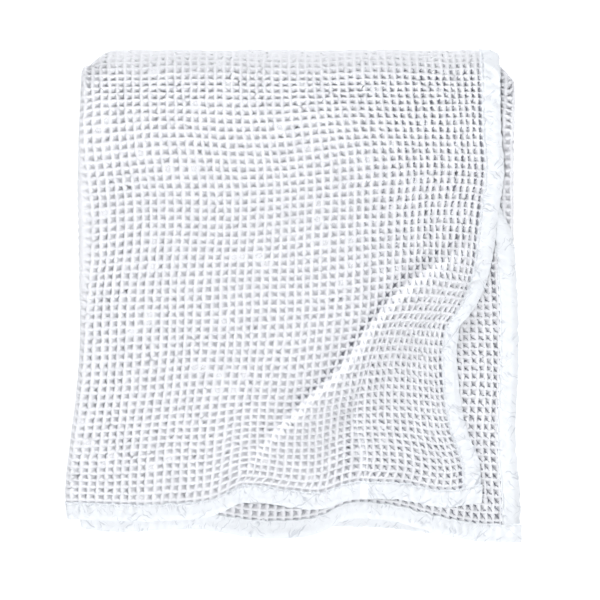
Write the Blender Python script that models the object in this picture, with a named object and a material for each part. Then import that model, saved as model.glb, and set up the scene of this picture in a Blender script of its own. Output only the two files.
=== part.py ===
"""A waffle weave cotton blanket with a plain cotton binding, folded and lying flat.

The blanket is one cloth. It is book-folded twice across its width, which gives four plies, and
then folded once along its length, so that a front run of four plies lies on a rear run of four.
From the top, the plies of the front run are A, B, C and D.

    across the width (front run)                    along the length

      .---- A ---------------- free edge A          hems  ============.
      | .-- B ------------------- free edge B             front run    )  top fold
      | '-- C -----------------.  right fold              ============'
      '---- D -----------------'                          rear run, flat on the floor

+X runs across the fold, +Y from the hems to the top fold and +Z up. The origin is the middle of
the bottom. Every point of the cloth comes from one rule, middle_of_cloth: s is the flat distance
across the cloth from free edge A, and t is the flat distance along it from the front hem.
"""

import math

import bpy
import numpy as np

# Flat cloth and its binding.
FLAT_LENGTH = 1.22
CLOTH_THICKNESS = 0.0030
BINDING_THICKNESS = 0.0026
BINDING_WIDTH = 0.025
SEAM_GAP = 0.0003

# The stack. A ply's height is that of its middle above the middle of its run.
PLY_PITCH = 0.005
PLY_HEIGHT = {"A": 1.5 * PLY_PITCH, "B": 0.5 * PLY_PITCH, "C": -0.5 * PLY_PITCH, "D": -1.5 * PLY_PITCH}
OUTER_FOLD_RADIUS = 1.5 * PLY_PITCH
INNER_FOLD_RADIUS = 0.5 * PLY_PITCH
REAR_RUN_Z = 1.5 * PLY_PITCH + CLOTH_THICKNESS / 2
FRONT_RUN_Z = REAR_RUN_Z + 4 * PLY_PITCH

# The top fold: each ply turns over in half an ellipse about the line y = FOLD_Y, z = FOLD_Z.
# The front run climbs by FOLD_RISE on its way there, because a thick fold stays open.
FOLD_Y = 0.2865
FOLD_RISE = 0.008
FOLD_RUN_UP = 0.15
FOLD_Z = (FRONT_RUN_Z + FOLD_RISE + REAR_RUN_Z) / 2
FOLD_HALF_HEIGHT = (FRONT_RUN_Z + FOLD_RISE - REAR_RUN_Z) / 2
FOLD_REACH = {"A": 0.0400, "B": 0.0325, "C": 0.0268, "D": 0.0210}
FRONT_LENGTH = {"A": 0.585, "B": 0.600, "C": 0.594, "D": 0.587}
REAR_HEM_Y = {"A": -0.256, "B": -0.257, "C": -0.259, "D": -0.261}

# The corners of the top fold are drawn back: (where it starts, how far out it ends, by how much).
LEFT_CORNER = {"starts": -0.238, "ends": -0.277, "drawn_back": 0.020}
RIGHT_CORNER = {"starts": 0.254, "ends": 0.287, "drawn_back": 0.024}
CORNER_RUN = 0.09

# The tables below are read about a middle that is this far from that of the folded blanket's box.
BOX_MIDDLE_X = -0.00074
BOX_MIDDLE_Y = -0.00115

# Beyond the rear hems nothing lies below the front run, and its plies sink together.
SAG_STARTS = -0.264
SAG_RUN = 0.045
SAG = 0.008

# Where the folds and free edges are before they drift.
LEFT_OUTER_X = -0.2790
LEFT_INNER_X = -0.2778
RIGHT_FOLD_X = 0.2873
FREE_EDGE_A = 0.2713
FREE_EDGE_B = 0.2913
DROOP_STARTS = 0.289
DROOP_RUN = 0.018
DROOP = 0.002

# Drift of the left folds along the run. Columns: y, x added to it.
LEFT_DRIFT = ((-0.300, -0.0145), (-0.255, -0.0165), (-0.192, -0.0100), (-0.116, -0.0010),
              (0.165, 0.0), (0.280, 0.0050))
# Half of the drift of the inner left fold is lost at the hem. Columns: y, x added to the inner fold.
INNER_DRIFT = ((-0.300, -0.0030), (-0.240, -0.0040), (-0.192, -0.0060), (-0.116, 0.0), (0.280, 0.0050))
# The two free edges. Columns: y, x of the edge.
EDGE_A = ((-0.273, 0.2473), (-0.239, 0.2450), (-0.185, 0.2280), (-0.116, 0.2175), (-0.052, 0.2170),
          (-0.036, 0.2205), (-0.026, 0.2300), (0.007, 0.2500), (0.061, 0.2633), (0.121, 0.2720),
          (0.157, 0.2775), (0.216, 0.2733), (0.330, 0.2693))
EDGE_B = ((-0.330, 0.3032), (-0.248, 0.2997), (-0.195, 0.2943), (-0.080, 0.2978), (0.020, 0.2950),
          (0.088, 0.2870), (0.121, 0.2723), (0.160, 0.2620), (0.330, 0.2607))
# The front hems, ply by ply. Columns: x, y of the hem.
HEM = {
    "A": ((-0.300, -0.2973), (-0.168, -0.2987), (-0.107, -0.2913), (-0.066, -0.2727), (-0.045, -0.2720),
          (-0.010, -0.2780), (0.035, -0.2827), (0.071, -0.2707), (0.133, -0.2687), (0.199, -0.2800),
          (0.247, -0.2733)),
    "B": ((-0.288, -0.3093), (-0.265, -0.3133), (-0.127, -0.3120), (-0.035, -0.3240), (0.035, -0.3160),
          (0.067, -0.2995), (0.118, -0.2990), (0.194, -0.3180), (0.239, -0.3270), (0.303, -0.3292)),
    "C": ((-0.280, -0.3067), (0.030, -0.3085), (0.107, -0.3093), (0.194, -0.3180), (0.290, -0.3190)),
    "D": ((-0.300, -0.2990), (0.150, -0.3050), (0.290, -0.3160)),
}
HEM_RUN = 0.20

# Ply A has moved left at its free edge, and the cloth between has thrown up two ridges. Each runs
# along a valley, and lies to the right of it.
# Columns of both valleys: y, x of the valley, share of the ridge's height, share of its take-up.
MAIN_VALLEY = ((-0.300, -0.082, 0.35, 1.0), (-0.243, -0.066, 0.55, 1.0), (-0.192, -0.035, 0.80, 1.0),
               (-0.147, 0.005, 0.95, 1.0), (-0.091, 0.062, 1.00, 0.9), (-0.044, 0.093, 1.00, 0.8),
               (0.009, 0.138, 0.85, 0.5), (0.053, 0.205, 0.45, 0.1), (0.090, 0.260, 0.0, 0.0))
SECOND_VALLEY = ((-0.300, 0.094, 0.80, 1.0), (-0.243, 0.097, 1.00, 1.0), (-0.116, 0.099, 1.00, 1.0),
                 (-0.029, 0.146, 0.50, 0.8), (0.020, 0.195, 0.0, 0.0))
MAIN_RIDGE = {"height": 0.0150, "climb": 0.032, "fall": 0.085, "takes_up": 0.010}
SECOND_RIDGE = {"height": 0.0080, "climb": 0.028, "fall": 0.080, "takes_up": 0.010}
# Low swellings of ply A. Columns: x, y, half width, half length, height.
SWELLINGS = ((0.262, -0.030, 0.035, 0.030, 0.0060), (-0.012, -0.275, 0.060, 0.050, 0.0050),
             (0.215, -0.200, 0.060, 0.090, 0.0030), (-0.120, -0.230, 0.070, 0.060, 0.0035),
             (0.040, 0.090, 0.090, 0.110, 0.0030), (-0.180, 0.120, 0.100, 0.140, 0.0025))
# What is left of the shift of free edge A is spread from here to the edge. Columns: y, x.
SPREAD_STARTS = ((-0.300, -0.080), (-0.147, 0.005), (-0.044, 0.090), (0.020, 0.120), (0.080, 0.100),
                 (0.200, 0.0), (0.330, 0.0))
LEFT_SPREAD = 0.20

# How many strips each stretch across the width is cut into, and the steps along the length.
STRIPS = {"A": 32, "left_outer": 7, "D": 3, "right": 6, "C": 4, "left_inner": 6, "B": 10}
FRONT_STEPS = 26
TURN_STEPS = 7
REAR_STEPS = 2
NORMAL_STEP = 1e-4

WAFFLE_COLOUR = (0.90, 0.90, 0.92)
BINDING_COLOUR = (0.90, 0.92, 0.95)
COTTON_ROUGHNESS = 0.9


def ease(x):
    """0 below 0, 1 above 1 and a smooth S between."""
    x = np.clip(x, 0.0, 1.0)
    return x * x * (3 - 2 * x)


def read(table, at, column=1):
    """A column of a short table at the given places, on a smooth curve through its rows.

    Between two rows it is a cubic whose slope at each row is that of the line between the row's
    neighbours. Outside the table it keeps the end value.
    """
    rows = np.array(table)
    place, value = rows[:, 0], rows[:, column]
    slope = np.gradient(value, place)
    at = np.clip(at, place[0], place[-1])
    i = np.clip(np.searchsorted(place, at) - 1, 0, len(place) - 2)
    width = place[i + 1] - place[i]
    u = (at - place[i]) / width
    return ((1 + 2 * u) * (1 - u) ** 2 * value[i] + u * (1 - u) ** 2 * width * slope[i]
            + u * u * (3 - 2 * u) * value[i + 1] + u * u * (u - 1) * width * slope[i + 1])


def by_ply(values, share):
    """A size that differs from ply to ply, blended round the folds by each ply's share."""
    return sum(share[ply] * values[ply] for ply in "ABCD")


# Stretches across the width, from free edge A to free edge B: name, first ply, last ply, start and
# end for a flat one, or centre, radius and side for a fold.
FLATS = {"A": (FREE_EDGE_A, LEFT_OUTER_X), "D": (LEFT_OUTER_X, RIGHT_FOLD_X),
         "C": (RIGHT_FOLD_X, LEFT_INNER_X), "B": (LEFT_INNER_X, FREE_EDGE_B)}
FOLDS = {"left_outer": ("AD", LEFT_OUTER_X, -OUTER_FOLD_RADIUS),
         "right": ("DC", RIGHT_FOLD_X, INNER_FOLD_RADIUS),
         "left_inner": ("CB", LEFT_INNER_X, -INNER_FOLD_RADIUS)}


def stretch_length(name):
    if name in FLATS:
        start, end = FLATS[name]
        return abs(end - start)
    return math.pi * abs(FOLDS[name][2])


STARTS = dict(zip(STRIPS, np.cumsum([0.0] + [stretch_length(name) for name in STRIPS])))
FLAT_WIDTH = sum(stretch_length(name) for name in STRIPS)


def across(s):
    """Where flat distances s come in the section: x before any drift, and each ply's share."""
    x = np.zeros_like(s)
    share = {ply: np.zeros_like(s) for ply in "ABCD"}
    for name in STRIPS:
        length = stretch_length(name)
        last = name == list(STRIPS)[-1]
        here = (s >= STARTS[name]) & ((s < STARTS[name] + length) | last)
        part = (s[here] - STARTS[name]) / length
        if name in FLATS:
            start, end = FLATS[name]
            x[here] = start + (end - start) * part
            share[name][here] = 1.0
        else:
            (first, second), centre, radius = FOLDS[name]
            x[here] = centre + radius * np.sin(math.pi * part)
            share[first][here] = (1 + np.cos(math.pi * part)) / 2
            share[second][here] = (1 - np.cos(math.pi * part)) / 2
    return x, share


def ridge(x, y, valley, size):
    """A ridge beside a valley: its height over (x, y), and how far it draws the cloth to the left.

    From the valley the cloth climbs in an S over "climb", and falls in a longer S over "fall".
    """
    past = x - read(valley, y)
    climb = ease(past / size["climb"])
    fall = 1 - ease((past - size["climb"]) / size["fall"])
    height = size["height"] * read(valley, y, 2) * climb * fall
    return height, size["takes_up"] * read(valley, y, 3) * climb


def drape_a(x, y):
    """Ply A's height above a flat ply, and its shift in x, over undrifted (x, y)."""
    height, taken = ridge(x, y, MAIN_VALLEY, MAIN_RIDGE)
    height_2, taken_2 = ridge(x, y, SECOND_VALLEY, SECOND_RIDGE)
    _, edge_taken = ridge(FREE_EDGE_A, y, MAIN_VALLEY, MAIN_RIDGE)
    _, edge_taken_2 = ridge(FREE_EDGE_A, y, SECOND_VALLEY, SECOND_RIDGE)
    height = height + height_2
    for at_x, at_y, wide, long, high in SWELLINGS:
        away = ((x - at_x) / wide) ** 2 + ((y - at_y) / long) ** 2
        height = height + high * np.exp(-away)
    start = read(SPREAD_STARTS, y)
    spread = np.clip((x - start) / (FREE_EDGE_A - start), 0, 1)
    left_over = read(EDGE_A, y) - FREE_EDGE_A + edge_taken + edge_taken_2
    return height, left_over * spread - taken - taken_2


def drawn_back(x, corner):
    """How far a corner of the top fold is drawn back at x."""
    into = np.clip((x - corner["starts"]) / (corner["ends"] - corner["starts"]), 0, 1)
    return corner["drawn_back"] * into**2


def turn_over(share):
    """How each ply turns over at the top fold: where it starts, its reach, its rise and its length."""
    front = by_ply(FRONT_LENGTH, share)
    reach = by_ply(FOLD_REACH, share)
    rise = FOLD_HALF_HEIGHT + by_ply(PLY_HEIGHT, share)
    return front, reach, rise, math.pi * np.sqrt((reach**2 + rise**2) / 2)


def middle_of_cloth(s, t):
    """The middle of the cloth at flat distances s across and t along, which are two flat grids.

    Along the length, a ply runs flat for its FRONT_LENGTH, turns over in half an ellipse, and runs
    back below. Its hem is drawn to the HEM tables over HEM_RUN. Across the width, the section's x
    is shifted by the drift of the folds and edges.
    """
    x0, share = across(s)
    height = by_ply(PLY_HEIGHT, share)
    front, reach, rise, turn_length = turn_over(share)
    before, after = t - front, t - front - turn_length
    angle = math.pi * np.clip(before / turn_length, 0, 1)

    rear_scale = (FOLD_Y - by_ply(REAR_HEM_Y, share)) / (FLAT_LENGTH - front - turn_length)
    y = FOLD_Y + np.minimum(before, 0) + reach * np.sin(angle) - rear_scale * np.maximum(after, 0)
    on_front = before < 0
    y_read = np.where(on_front, y, FOLD_Y)

    in_a, in_b = share["A"], share["B"]
    left = np.clip((x0 - LEFT_OUTER_X) / LEFT_SPREAD, 0, 1)
    drift = (read(LEFT_DRIFT, y_read) * (in_a + share["D"]) + read(INNER_DRIFT, y_read) * (in_b + share["C"]))
    high_a, shift_a = drape_a(x0, y_read)
    toward_b = np.clip((x0 - LEFT_INNER_X) / (FREE_EDGE_B - LEFT_INNER_X), 0, 1)
    shift_b = (read(EDGE_B, y_read) - FREE_EDGE_B) * toward_b**2
    x = x0 + drift * (1 - left) + in_a * shift_a + in_b * shift_b

    hem_shift = sum(share[ply] * (read(HEM[ply], x) - FOLD_Y + FRONT_LENGTH[ply]) for ply in "ABCD")
    y = y + hem_shift * (1 - ease(t / HEM_RUN))
    corner = drawn_back(x0, LEFT_CORNER) + drawn_back(x, RIGHT_CORNER)
    y = y - corner * ease(1 + before / CORNER_RUN) * (1 - ease(after / CORNER_RUN))

    climb = FOLD_RISE * ease(1 + before / FOLD_RUN_UP)
    sag = SAG * on_front * ease((SAG_STARTS - y) / SAG_RUN)
    droop = DROOP * in_b * ease((x - DROOP_STARTS) / DROOP_RUN) * on_front
    z_front = FRONT_RUN_Z + height + climb + in_a * high_a * (1 - ease(before / turn_length * 4)) - droop
    z_turn = FOLD_Z + rise * np.cos(angle)
    z = np.where(on_front, z_front, z_turn + in_a * high_a * (1 - ease(before / turn_length * 4)))
    return np.stack([x - BOX_MIDDLE_X, y - BOX_MIDDLE_Y, z - sag], axis=-1)


def normal_of_cloth(s, t):
    """The unit normal of the middle, on the cloth's top side in ply A: along t crossed with along s."""
    t_low, t_high = np.maximum(t - NORMAL_STEP, 0), np.minimum(t + NORMAL_STEP, FLAT_LENGTH)
    s_low, s_high = np.maximum(s - NORMAL_STEP, 0), np.minimum(s + NORMAL_STEP, FLAT_WIDTH)
    normal = np.cross(middle_of_cloth(s, t_high) - middle_of_cloth(s, t_low),
                      middle_of_cloth(s_high, t) - middle_of_cloth(s_low, t))
    return normal / np.linalg.norm(normal, axis=-1, keepdims=True)


def lines(first, last, count):
    """count strips between two flat distances, as their edges."""
    return np.linspace(first, last, count + 1)


def lines_across():
    """Flat distances across the width: the seams of both side bindings, and every strip's edge."""
    edges = [0.0, BINDING_WIDTH]
    for name in STRIPS:
        first = max(STARTS[name], BINDING_WIDTH + SEAM_GAP)
        last = min(STARTS[name] + stretch_length(name), FLAT_WIDTH - BINDING_WIDTH - SEAM_GAP)
        edges += list(lines(first, last, STRIPS[name]))
    edges += [FLAT_WIDTH - BINDING_WIDTH, FLAT_WIDTH]
    return np.unique(np.round(edges, 7))


def lines_along(s):
    """For each flat distance s across, the flat distances along its length at which it is cut.

    They are the seams of both hem bindings, and even steps in each run and round the top fold,
    which starts and ends at a distance of its own on every ply.
    """
    front, _, _, turn_length = turn_over(across(s)[1])
    first, last = BINDING_WIDTH + SEAM_GAP, FLAT_LENGTH - BINDING_WIDTH - SEAM_GAP
    edges = [0 * s, BINDING_WIDTH + 0 * s, *lines(first, front, FRONT_STEPS),
             *lines(front, front + turn_length, TURN_STEPS)[1:],
             *lines(front + turn_length, last, REAR_STEPS)[1:], last + SEAM_GAP + 0 * s, FLAT_LENGTH + 0 * s]
    return np.stack(edges, axis=-1)


def two_triangles(a, b, c, d):
    """Quads with corners a, b, c and d, all cut from b to d, which is the way the long ridge runs."""
    return np.concatenate([np.stack([a, b, d], -1).reshape(-1, 3), np.stack([b, c, d], -1).reshape(-1, 3)])


def slab(name, middle, normal, thickness, material):
    """A closed solid: a grid of points moved half the thickness to each side, joined by a rim.

    Both sides and all four walls of the rim are cut into triangles the same way along the grid, so
    that pieces which meet at a seam stay the same distance apart.
    """
    half = normal * thickness / 2
    points = np.concatenate([(middle + half).reshape(-1, 3), (middle - half).reshape(-1, 3)])
    top = np.arange(middle.shape[0] * middle.shape[1]).reshape(middle.shape[:2])
    low = top + top.size
    faces = [two_triangles(top[:-1, :-1], top[:-1, 1:], top[1:, 1:], top[1:, :-1]),
             two_triangles(low[:-1, :-1], low[:-1, 1:], low[1:, 1:], low[1:, :-1])[:, ::-1]]
    for upper, lower, flip in ((top[0], low[0], 1), (top[-1], low[-1], -1),
                               (top[:, 0], low[:, 0], -1), (top[:, -1], low[:, -1], 1)):
        faces.append(two_triangles(upper[:-1], lower[:-1], lower[1:], upper[1:])[:, ::flip])
    mesh = bpy.data.meshes.new(name)
    mesh.from_pydata(points.tolist(), [], np.concatenate(faces).tolist())
    mesh.validate()
    mesh.materials.append(material)
    piece = bpy.data.objects.new(name, mesh)
    bpy.context.scene.collection.objects.link(piece)
    return piece


def cotton(name, colour):
    """A plain, rough cotton of one colour."""
    material = bpy.data.materials.new(name)
    material.use_nodes = True
    shader = material.node_tree.nodes["Principled BSDF"]
    shader.inputs["Base Color"].default_value = (*colour, 1.0)
    shader.inputs["Roughness"].default_value = COTTON_ROUGHNESS
    shader.inputs["Metallic"].default_value = 0.0
    return material


def build():
    """Lays one grid over the whole cloth, and cuts it at the seams into the cloth and its bindings."""
    for old in list(bpy.data.objects):
        bpy.data.objects.remove(old)
    s = lines_across()
    t = lines_along(s)
    s = np.broadcast_to(s[:, None], t.shape)
    middle = middle_of_cloth(s, t)
    normal = normal_of_cloth(s, t)

    waffle = cotton("waffle_cotton", WAFFLE_COLOUR)
    plain = cotton("binding_cotton", BINDING_COLOUR)
    # Columns: name, first and last line across, first and last line along, thickness, material.
    pieces = (
        ("waffle_cloth", 2, -2, 2, -2, CLOTH_THICKNESS, waffle),
        ("binding_edge_a", 0, 2, 2, -2, BINDING_THICKNESS, plain),
        ("binding_edge_b", -2, None, 2, -2, BINDING_THICKNESS, plain),
        ("binding_hem_front", 0, None, 0, 2, BINDING_THICKNESS, plain),
        ("binding_hem_back", 0, None, -2, None, BINDING_THICKNESS, plain),
    )
    for name, s_from, s_to, t_from, t_to, thickness, material in pieces:
        cut = (slice(s_from, s_to), slice(t_from, t_to))
        slab(name, middle[cut], normal[cut], thickness, material)


build()
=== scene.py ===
# %% [markdown]
# # A folded waffle weave blanket
# The real blanket is one cotton cloth, woven so that long yarns stand up round square pits. A strip
# of plain cotton is folded over all four raw edges and stitched. The cloth is folded twice across
# and once along, and its top ply has slid, which threw up soft diagonal creases. Everything here
# rides on a frame of plain solids, one for each piece, that fixes every size and place.

# %% Load the frame
import math

import bpy
import numpy as np
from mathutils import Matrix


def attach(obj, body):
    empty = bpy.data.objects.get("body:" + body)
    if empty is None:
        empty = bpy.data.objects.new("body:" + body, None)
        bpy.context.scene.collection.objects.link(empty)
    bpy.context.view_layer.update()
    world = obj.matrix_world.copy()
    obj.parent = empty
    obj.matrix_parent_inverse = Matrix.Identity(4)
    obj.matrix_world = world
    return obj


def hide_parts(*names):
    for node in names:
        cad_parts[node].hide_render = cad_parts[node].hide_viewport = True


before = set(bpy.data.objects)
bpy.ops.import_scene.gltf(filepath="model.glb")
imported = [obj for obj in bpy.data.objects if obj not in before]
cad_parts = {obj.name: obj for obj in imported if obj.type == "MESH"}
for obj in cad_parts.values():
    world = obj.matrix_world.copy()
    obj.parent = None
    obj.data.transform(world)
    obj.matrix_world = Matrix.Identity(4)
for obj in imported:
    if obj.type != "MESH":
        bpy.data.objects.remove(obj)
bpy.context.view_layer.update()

# %% [markdown]
# ## One rule for the whole cloth
# A folded cloth could be draped by simulation, but eight thin layers that touch are slow to
# simulate and never come out the same twice. A fold is also easy to say exactly: straight plies
# joined by half circles. So the middle of the cloth is one function of two flat distances, s across
# it and t along it, and every piece below is laid on that function. The sizes are those of the
# frame's solids. Plies A, B, C and D lie from the top down.

# %% Sizes of the folded cloth
FLAT_LENGTH = 1.22
BINDING_WIDTH = 0.025
PLY_PITCH = 0.005
PLY_HEIGHT = {"A": 1.5 * PLY_PITCH, "B": 0.5 * PLY_PITCH, "C": -0.5 * PLY_PITCH, "D": -1.5 * PLY_PITCH}
OUTER_FOLD_RADIUS = 1.5 * PLY_PITCH
INNER_FOLD_RADIUS = 0.5 * PLY_PITCH
REAR_RUN_Z = 1.5 * PLY_PITCH + 0.0015
FRONT_RUN_Z = REAR_RUN_Z + 4 * PLY_PITCH

# The fold at the top edge of the stack, and how far each ply reaches round it.
FOLD_Y = 0.2865
FOLD_RISE = 0.008
FOLD_RUN_UP = 0.15
FOLD_Z = (FRONT_RUN_Z + FOLD_RISE + REAR_RUN_Z) / 2
FOLD_HALF_HEIGHT = (FRONT_RUN_Z + FOLD_RISE - REAR_RUN_Z) / 2
FOLD_REACH = {"A": 0.0400, "B": 0.0325, "C": 0.0268, "D": 0.0210}
FRONT_LENGTH = {"A": 0.585, "B": 0.600, "C": 0.594, "D": 0.587}
REAR_HEM_Y = {"A": -0.256, "B": -0.257, "C": -0.259, "D": -0.261}
LEFT_CORNER = {"starts": -0.238, "ends": -0.277, "drawn_back": 0.020}
RIGHT_CORNER = {"starts": 0.254, "ends": 0.287, "drawn_back": 0.024}
CORNER_RUN = 0.09
BOX_MIDDLE_X = -0.00074
BOX_MIDDLE_Y = -0.00115
SAG_STARTS = -0.264
SAG_RUN = 0.045
SAG = 0.008

# The folds and free edges before they drift.
LEFT_OUTER_X = -0.2790
LEFT_INNER_X = -0.2778
RIGHT_FOLD_X = 0.2873
FREE_EDGE_A = 0.2713
FREE_EDGE_B = 0.2913
DROOP_STARTS = 0.289
DROOP_RUN = 0.018
DROOP = 0.002

# %% Where the folds, edges and hems wander
# Columns: y, x added to the fold.
LEFT_DRIFT = ((-0.300, -0.0145), (-0.255, -0.0165), (-0.192, -0.0100), (-0.116, -0.0010),
              (0.165, 0.0), (0.280, 0.0050))
INNER_DRIFT = ((-0.300, -0.0030), (-0.240, -0.0040), (-0.192, -0.0060), (-0.116, 0.0), (0.280, 0.0050))
# Columns: y, x of the edge.
EDGE_A = ((-0.273, 0.2473), (-0.239, 0.2450), (-0.185, 0.2280), (-0.116, 0.2175), (-0.052, 0.2170),
          (-0.036, 0.2205), (-0.026, 0.2300), (0.007, 0.2500), (0.061, 0.2633), (0.121, 0.2720),
          (0.157, 0.2775), (0.216, 0.2733), (0.330, 0.2693))
EDGE_B = ((-0.330, 0.3032), (-0.248, 0.2997), (-0.195, 0.2943), (-0.080, 0.2978), (0.020, 0.2950),
          (0.088, 0.2870), (0.121, 0.2723), (0.160, 0.2620), (0.330, 0.2607))
# Columns: x, y of the hem.
HEM = {
    "A": ((-0.300, -0.2973), (-0.168, -0.2987), (-0.107, -0.2913), (-0.066, -0.2727), (-0.045, -0.2720),
          (-0.010, -0.2780), (0.035, -0.2827), (0.071, -0.2707), (0.133, -0.2687), (0.199, -0.2800),
          (0.247, -0.2733)),
    "B": ((-0.288, -0.3093), (-0.265, -0.3133), (-0.127, -0.3120), (-0.035, -0.3240), (0.035, -0.3160),
          (0.067, -0.2995), (0.118, -0.2990), (0.194, -0.3180), (0.239, -0.3270), (0.303, -0.3292)),
    "C": ((-0.280, -0.3067), (0.030, -0.3085), (0.107, -0.3093), (0.194, -0.3180), (0.290, -0.3190)),
    "D": ((-0.300, -0.2990), (0.150, -0.3050), (0.290, -0.3160)),
}
HEM_RUN = 0.20

# %% The creases of the top ply
# Columns of both valleys: y, x of the valley, share of the ridge's height, share of its take-up.
MAIN_VALLEY = ((-0.300, -0.082, 0.35, 1.0), (-0.243, -0.066, 0.55, 1.0), (-0.192, -0.035, 0.80, 1.0),
               (-0.147, 0.005, 0.95, 1.0), (-0.091, 0.062, 1.00, 0.9), (-0.044, 0.093, 1.00, 0.8),
               (0.009, 0.138, 0.85, 0.5), (0.053, 0.205, 0.45, 0.1), (0.090, 0.260, 0.0, 0.0))
SECOND_VALLEY = ((-0.300, 0.094, 0.80, 1.0), (-0.243, 0.097, 1.00, 1.0), (-0.116, 0.099, 1.00, 1.0),
                 (-0.029, 0.146, 0.50, 0.8), (0.020, 0.195, 0.0, 0.0))
MAIN_RIDGE = {"height": 0.0150, "climb": 0.032, "fall": 0.085, "takes_up": 0.010}
SECOND_RIDGE = {"height": 0.0080, "climb": 0.028, "fall": 0.080, "takes_up": 0.010}
# Columns: x, y, half width, half length, height.
SWELLINGS = ((0.262, -0.030, 0.035, 0.030, 0.0060), (-0.012, -0.275, 0.060, 0.050, 0.0050),
             (0.215, -0.200, 0.060, 0.090, 0.0030), (-0.120, -0.230, 0.070, 0.060, 0.0035),
             (0.040, 0.090, 0.090, 0.110, 0.0030), (-0.180, 0.120, 0.100, 0.140, 0.0025))
# Columns: y, x from which the rest of the slide is spread.
SPREAD_STARTS = ((-0.300, -0.080), (-0.147, 0.005), (-0.044, 0.090), (0.020, 0.120), (0.080, 0.100),
                 (0.200, 0.0), (0.330, 0.0))
LEFT_SPREAD = 0.20

# %% Small helpers
def ease(x):
    """0 below 0, 1 above 1 and the smooth S 3x^2 - 2x^3 between."""
    x = np.clip(x, 0.0, 1.0)
    return x * x * (3 - 2 * x)


def read(table, at, column=1):
    """A column of a short table, on the cubic whose slope at a row is that between its neighbours."""
    rows = np.array(table)
    place, value = rows[:, 0], rows[:, column]
    slope = np.gradient(value, place)
    at = np.clip(at, place[0], place[-1])
    i = np.clip(np.searchsorted(place, at) - 1, 0, len(place) - 2)
    width = place[i + 1] - place[i]
    u = (at - place[i]) / width
    return ((1 + 2 * u) * (1 - u) ** 2 * value[i] + u * (1 - u) ** 2 * width * slope[i]
            + u * u * (3 - 2 * u) * value[i + 1] + u * u * (u - 1) * width * slope[i + 1])


def by_ply(values, share):
    """A size that differs from ply to ply, blended round the folds by each ply's share."""
    return sum(share[ply] * values[ply] for ply in "ABCD")


# %% Across the width: four plies and three folds
FLATS = {"A": (FREE_EDGE_A, LEFT_OUTER_X), "D": (LEFT_OUTER_X, RIGHT_FOLD_X),
         "C": (RIGHT_FOLD_X, LEFT_INNER_X), "B": (LEFT_INNER_X, FREE_EDGE_B)}
FOLDS = {"left_outer": ("AD", LEFT_OUTER_X, -OUTER_FOLD_RADIUS),
         "right": ("DC", RIGHT_FOLD_X, INNER_FOLD_RADIUS),
         "left_inner": ("CB", LEFT_INNER_X, -INNER_FOLD_RADIUS)}
STRETCHES = ("A", "left_outer", "D", "right", "C", "left_inner", "B")


def stretch_length(name):
    """The flat length of a ply, or of the half circle of a fold."""
    if name in FLATS:
        start, end = FLATS[name]
        return abs(end - start)
    return math.pi * abs(FOLDS[name][2])


STARTS = dict(zip(STRETCHES, np.cumsum([0.0] + [stretch_length(name) for name in STRETCHES])))
FLAT_WIDTH = sum(stretch_length(name) for name in STRETCHES)
print(f"flat cloth {FLAT_WIDTH:.3f} by {FLAT_LENGTH:.3f} m")


def across(s):
    """x before any drift, and each ply's share: a line on a ply, and x = centre + radius sin on a fold."""
    x = np.zeros_like(s)
    share = {ply: np.zeros_like(s) for ply in "ABCD"}
    for name in STRETCHES:
        length = stretch_length(name)
        last = name == STRETCHES[-1]
        here = (s >= STARTS[name]) & ((s < STARTS[name] + length) | last)
        part = (s[here] - STARTS[name]) / length
        if name in FLATS:
            start, end = FLATS[name]
            x[here] = start + (end - start) * part
            share[name][here] = 1.0
        else:
            (first, second), centre, radius = FOLDS[name]
            x[here] = centre + radius * np.sin(math.pi * part)
            share[first][here] = (1 + np.cos(math.pi * part)) / 2
            share[second][here] = (1 - np.cos(math.pi * part)) / 2
    return x, share


# %% The creases as heights and shifts
def ridge(x, y, valley, size):
    """Past its valley a ridge climbs in an S and falls in a longer S, and draws the cloth to the left."""
    past = x - read(valley, y)
    climb = ease(past / size["climb"])
    fall = 1 - ease((past - size["climb"]) / size["fall"])
    height = size["height"] * read(valley, y, 2) * climb * fall
    return height, size["takes_up"] * read(valley, y, 3) * climb


def drape_a(x, y):
    """Ply A's height above a flat ply, two ridges and some Gaussian swellings, its shift in x, and how
    much of that comes from its being drawn into the ridges rather than shared out evenly."""
    height, taken = ridge(x, y, MAIN_VALLEY, MAIN_RIDGE)
    height_2, taken_2 = ridge(x, y, SECOND_VALLEY, SECOND_RIDGE)
    _, edge_taken = ridge(FREE_EDGE_A, y, MAIN_VALLEY, MAIN_RIDGE)
    _, edge_taken_2 = ridge(FREE_EDGE_A, y, SECOND_VALLEY, SECOND_RIDGE)
    height = height + height_2
    for at_x, at_y, wide, long, high in SWELLINGS:
        away = ((x - at_x) / wide) ** 2 + ((y - at_y) / long) ** 2
        height = height + high * np.exp(-away)
    start = read(SPREAD_STARTS, y)
    spread = np.clip((x - start) / (FREE_EDGE_A - start), 0, 1)
    drawn_in = taken + taken_2 - (edge_taken + edge_taken_2) * spread
    return height, (read(EDGE_A, y) - FREE_EDGE_A) * spread - drawn_in, drawn_in


def drawn_back(x, corner):
    """How far a corner of the top fold is drawn back at x."""
    into = np.clip((x - corner["starts"]) / (corner["ends"] - corner["starts"]), 0, 1)
    return corner["drawn_back"] * into**2


def turn_over(share):
    """How each ply turns over at the top fold: where it starts, its reach, its rise and its length."""
    front = by_ply(FRONT_LENGTH, share)
    reach = by_ply(FOLD_REACH, share)
    rise = FOLD_HALF_HEIGHT + by_ply(PLY_HEIGHT, share)
    return front, reach, rise, math.pi * np.sqrt((reach**2 + rise**2) / 2)


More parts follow.
